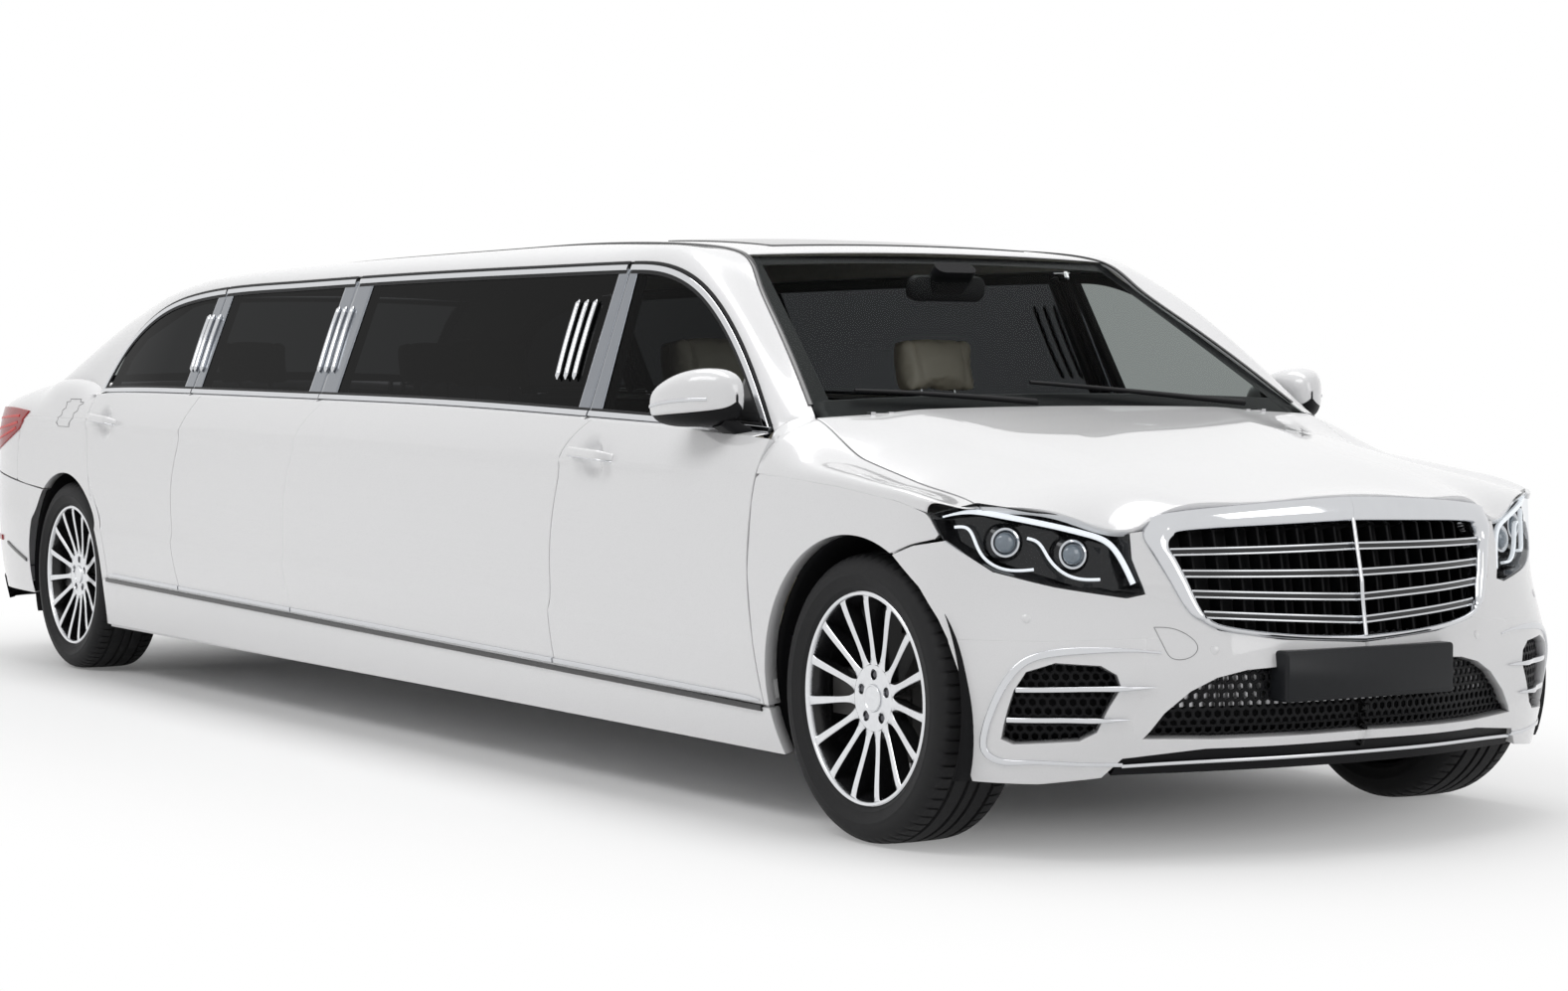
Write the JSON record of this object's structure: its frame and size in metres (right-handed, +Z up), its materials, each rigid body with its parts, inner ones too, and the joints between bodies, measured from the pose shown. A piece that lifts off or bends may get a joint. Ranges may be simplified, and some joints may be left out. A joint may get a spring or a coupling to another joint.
{
  "type": "stretch limousine",
  "caption": "White stretch limousine: long hollow unitary body with hinged doors, bonnet and boot lid, dark side glass, steered front wheels and free turning road wheels",
  "frame": {"origin": "on the ground under the middle of the car's length and width", "axes": "+X forward along the car, +Y to its left, +Z up"},
  "size_m": [7.174, 2.124, 1.5],
  "materials": {
    "white_paint": "gloss white paint",
    "black_plastic": "satin black",
    "chrome": "polished",
    "privacy_glass": "dark tinted",
    "screen_glass": "lightly tinted",
    "lamp_clear": "clear lens",
    "lamp_red": "red lens",
    "tyre": "black rubber",
    "alloy": "machined faces, dark pockets",
    "steel": "bare steel",
    "iron": "cast",
    "leather": "cream leather",
    "dark_trim": "soft dark trim"
  },
  "bodies": {
    "body": {"floor_pan": "white_paint", "sills": "white_paint", "body_sides": "white_paint", "roof": "white_paint", "fenders": "white_paint", "front_bumper": "white_paint", "rear_bumper": "white_paint", "windscreen": "screen_glass", "rear_window": "privacy_glass", "side_glass": "privacy_glass", "grille": "chrome", "intake_grilles": "black_plastic", "plate_carrier": "black_plastic", "headlamps": "lamp_clear", "tail_lamps": "lamp_red", "engine": "iron", "front_subframe": "steel", "rear_axle": "steel", "wheel_liners": "black_plastic", "dashboard": "dark_trim", "front_seats": "leather", "middle_seats": "leather", "rear_seats": "leather", "door_hinges": "steel", "lid_hinges": "steel", "cowl": "black_plastic", "jack_pads": "steel"},
    "hood": {"hood": "white_paint"},
    "boot_lid": {"boot_lid": "white_paint"},
    "steering_wheel": {"steering_wheel": "dark_trim"},
    "front_door_left": {"front_door_left": "white_paint", "front_door_glass_left": "privacy_glass", "mirror_left": "white_paint"},
    "rear_door_left": {"rear_door_left": "white_paint", "rear_door_glass_left": "privacy_glass"},
    "knuckle_left": {"knuckle_left": "iron"},
    "wheel_front_left": {"wheel_front_left": "alloy", "tyre_front_left": "tyre"},
    "wheel_rear_left": {"wheel_rear_left": "alloy", "tyre_rear_left": "tyre"},
    "front_door_right": {"front_door_right": "white_paint", "front_door_glass_right": "privacy_glass", "mirror_right": "white_paint"},
    "rear_door_right": {"rear_door_right": "white_paint", "rear_door_glass_right": "privacy_glass"},
    "knuckle_right": {"knuckle_right": "iron"},
    "wheel_front_right": {"wheel_front_right": "alloy", "tyre_front_right": "tyre"},
    "wheel_rear_right": {"wheel_rear_right": "alloy", "tyre_rear_right": "tyre"}
  },
  "joints": [
    {"name": "front_door_left_hinge", "type": "hinge", "parent": "body", "child": "front_door_left", "pos_m": [2.318, 0.937, 0.605], "axis": [0, 0, -1], "range_deg": [0, 65]},
    {"name": "rear_door_left_hinge", "type": "hinge", "parent": "body", "child": "rear_door_left", "pos_m": [-1.455, 0.937, 0.605], "axis": [0, 0, -1], "range_deg": [0, 65]},
    {"name": "front_door_right_hinge", "type": "hinge", "parent": "body", "child": "front_door_right", "pos_m": [2.318, -0.937, 0.605], "axis": [0, 0, 1], "range_deg": [0, 65]},
    {"name": "rear_door_right_hinge", "type": "hinge", "parent": "body", "child": "rear_door_right", "pos_m": [-1.455, -0.937, 0.605], "axis": [0, 0, 1], "range_deg": [0, 65]},
    {"name": "hood_hinge", "type": "hinge", "parent": "body", "child": "hood", "pos_m": [2.443, 0, 1.012], "axis": [0, -1, 0], "range_deg": [0, 50]},
    {"name": "boot_hinge", "type": "hinge", "parent": "body", "child": "boot_lid", "pos_m": [-2.867, 0, 1.062], "axis": [0, 1, 0], "range_deg": [0, 75]},
    {"name": "steer_left", "type": "hinge", "parent": "body", "child": "knuckle_left", "pos_m": [2.833, 0.78, 0.348], "axis": [0, 0, 1], "range_deg": [-35, 35]},
    {"name": "steer_right", "type": "hinge", "parent": "body", "child": "knuckle_right", "pos_m": [2.833, -0.78, 0.348], "axis": [0, 0, 1], "range_deg": [-35, 35]},
    {"name": "wheel_front_left_spin", "type": "hinge", "parent": "knuckle_left", "child": "wheel_front_left", "pos_m": [2.833, 0.812, 0.348], "axis": [0, 1, 0], "continuous": true},
    {"name": "wheel_rear_left_spin", "type": "hinge", "parent": "body", "child": "wheel_rear_left", "pos_m": [-2.457, 0.812, 0.348], "axis": [0, 1, 0], "continuous": true},
    {"name": "wheel_front_right_spin", "type": "hinge", "parent": "knuckle_right", "child": "wheel_front_right", "pos_m": [2.833, -0.812, 0.348], "axis": [0, 1, 0], "continuous": true},
    {"name": "wheel_rear_right_spin", "type": "hinge", "parent": "body", "child": "wheel_rear_right", "pos_m": [-2.457, -0.812, 0.348], "axis": [0, 1, 0], "continuous": true},
    {"name": "steering_wheel_turn", "type": "hinge", "parent": "body", "child": "steering_wheel", "pos_m": [1.933, 0.37, 0.86], "axis": [-0.9135, 0, 0.4067], "range_deg": [-420, 420]}
  ],
  "couplings": [
    {"joint": "steer_right", "follows": "steer_left", "ratio": 1},
    {"joint": "steering_wheel_turn", "follows": "steer_left", "ratio": 12}
  ]
}
